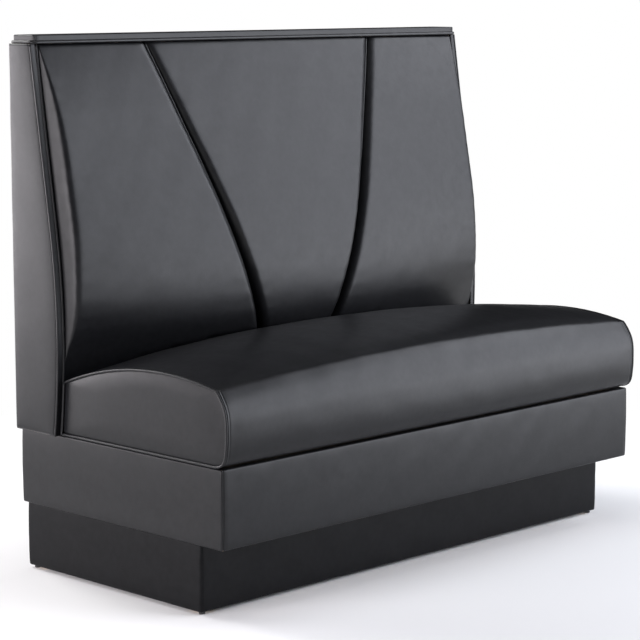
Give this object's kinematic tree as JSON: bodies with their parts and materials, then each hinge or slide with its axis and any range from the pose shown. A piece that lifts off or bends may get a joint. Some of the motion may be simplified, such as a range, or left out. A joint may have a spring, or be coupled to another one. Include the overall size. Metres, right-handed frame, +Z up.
{
  "type": "restaurant booth bench seat",
  "caption": "Single upholstered restaurant booth in black vinyl with a V-channel raked back, thick crowned seat, recessed toe kick and levelling glides.",
  "frame": {"origin": "on the floor, under the middle of the overall box, with the glides screwed in", "axes": "+X along the bench, the seat faces -Y, +Z up"},
  "size_m": [1.236, 0.61, 1.067],
  "materials": {
    "black_vinyl": "semi-gloss black upholstery vinyl with a fine grain",
    "vinyl_piping": "black vinyl piping over cord",
    "foam": "open-cell upholstery foam",
    "plywood": "raw plywood",
    "dust_cloth": "black non-woven dust cloth",
    "fastener_steel": "bright zinc",
    "glide_steel": "bright zinc",
    "glide_plastic": "black nylon"
  },
  "bodies": {
    "booth": {"apron_cover_front": "black_vinyl", "apron_cover_left": "black_vinyl", "apron_cover_rear": "black_vinyl", "apron_cover_right": "black_vinyl", "back_board": "plywood", "back_bottom_rail": "plywood", "back_brackets": "fastener_steel", "back_channel_welts": "vinyl_piping", "back_cover_centre": "black_vinyl", "back_cover_left": "black_vinyl", "back_cover_right": "black_vinyl", "back_foam_centre": "foam", "back_foam_left": "foam", "back_foam_right": "foam", "back_gable_left": "plywood", "back_gable_right": "plywood", "back_ribs": "plywood", "back_side_panel_left": "black_vinyl", "back_side_panel_right": "black_vinyl", "back_top_rail": "plywood", "border_strips": "black_vinyl", "border_welts": "vinyl_piping", "box_base_panel": "plywood", "box_cross_rails": "plywood", "box_end_rail_left": "plywood", "box_end_rail_right": "plywood", "box_front_rail": "plywood", "box_rear_rail": "plywood", "bracket_bolts": "fastener_steel", "cap_board": "plywood", "cap_cover": "black_vinyl", "cap_piping": "vinyl_piping", "dust_cover": "dust_cloth", "outside_back_panel": "black_vinyl", "plinth_corner_posts": "plywood", "plinth_cover_front": "black_vinyl", "plinth_cover_left": "black_vinyl", "plinth_cover_rear": "black_vinyl", "plinth_cover_right": "black_vinyl", "plinth_cross_rails": "plywood", "plinth_end_rail_left": "plywood", "plinth_end_rail_right": "plywood", "plinth_front_rail": "plywood", "plinth_rear_rail": "plywood", "plinth_screws": "fastener_steel", "seat_board": "plywood", "seat_cover": "black_vinyl", "seat_deck": "plywood", "seat_end_welts": "vinyl_piping", "seat_foam": "foam", "seat_screws": "fastener_steel", "threaded_inserts": "fastener_steel"},
    "foot_front_left": {"glide_pad_front_left": "glide_plastic"},
    "stud_front_left": {"glide_stud_front_left": "glide_steel"},
    "foot_front_right": {"glide_pad_front_right": "glide_plastic"},
    "stud_front_right": {"glide_stud_front_right": "glide_steel"},
    "foot_rear_left": {"glide_pad_rear_left": "glide_plastic"},
    "stud_rear_left": {"glide_stud_rear_left": "glide_steel"},
    "foot_rear_right": {"glide_pad_rear_right": "glide_plastic"},
    "stud_rear_right": {"glide_stud_rear_right": "glide_steel"}
  },
  "joints": [
    {"name": "glide_travel_front_left", "type": "slide", "parent": "booth", "child": "foot_front_left", "axis": [0, 0, -1], "range_m": [0, 0.018]},
    {"name": "glide_turn_front_left", "type": "hinge", "parent": "foot_front_left", "child": "stud_front_left", "pos_m": [-0.5795, -0.199, 0], "axis": [0, 0, -1], "range_deg": [-10, 6490]},
    {"name": "glide_travel_front_right", "type": "slide", "parent": "booth", "child": "foot_front_right", "axis": [0, 0, -1], "range_m": [0, 0.018]},
    {"name": "glide_turn_front_right", "type": "hinge", "parent": "foot_front_right", "child": "stud_front_right", "pos_m": [0.5795, -0.199, 0], "axis": [0, 0, -1], "range_deg": [-10, 6490]},
    {"name": "glide_travel_rear_left", "type": "slide", "parent": "booth", "child": "foot_rear_left", "axis": [0, 0, -1], "range_m": [0, 0.018]},
    {"name": "glide_turn_rear_left", "type": "hinge", "parent": "foot_rear_left", "child": "stud_rear_left", "pos_m": [-0.5795, 0.292, 0], "axis": [0, 0, -1], "range_deg": [-10, 6490]},
    {"name": "glide_travel_rear_right", "type": "slide", "parent": "booth", "child": "foot_rear_right", "axis": [0, 0, -1], "range_m": [0, 0.018]},
    {"name": "glide_turn_rear_right", "type": "hinge", "parent": "foot_rear_right", "child": "stud_rear_right", "pos_m": [0.5795, 0.292, 0], "axis": [0, 0, -1], "range_deg": [-10, 6490]}
  ],
  "couplings": [
    {"joint": "glide_turn_front_left", "follows": "glide_travel_front_left", "rad_per_m": 6283.2},
    {"joint": "glide_turn_front_right", "follows": "glide_travel_front_right", "rad_per_m": 6283.2},
    {"joint": "glide_turn_rear_left", "follows": "glide_travel_rear_left", "rad_per_m": 6283.2},
    {"joint": "glide_turn_rear_right", "follows": "glide_travel_rear_right", "rad_per_m": 6283.2}
  ]
}
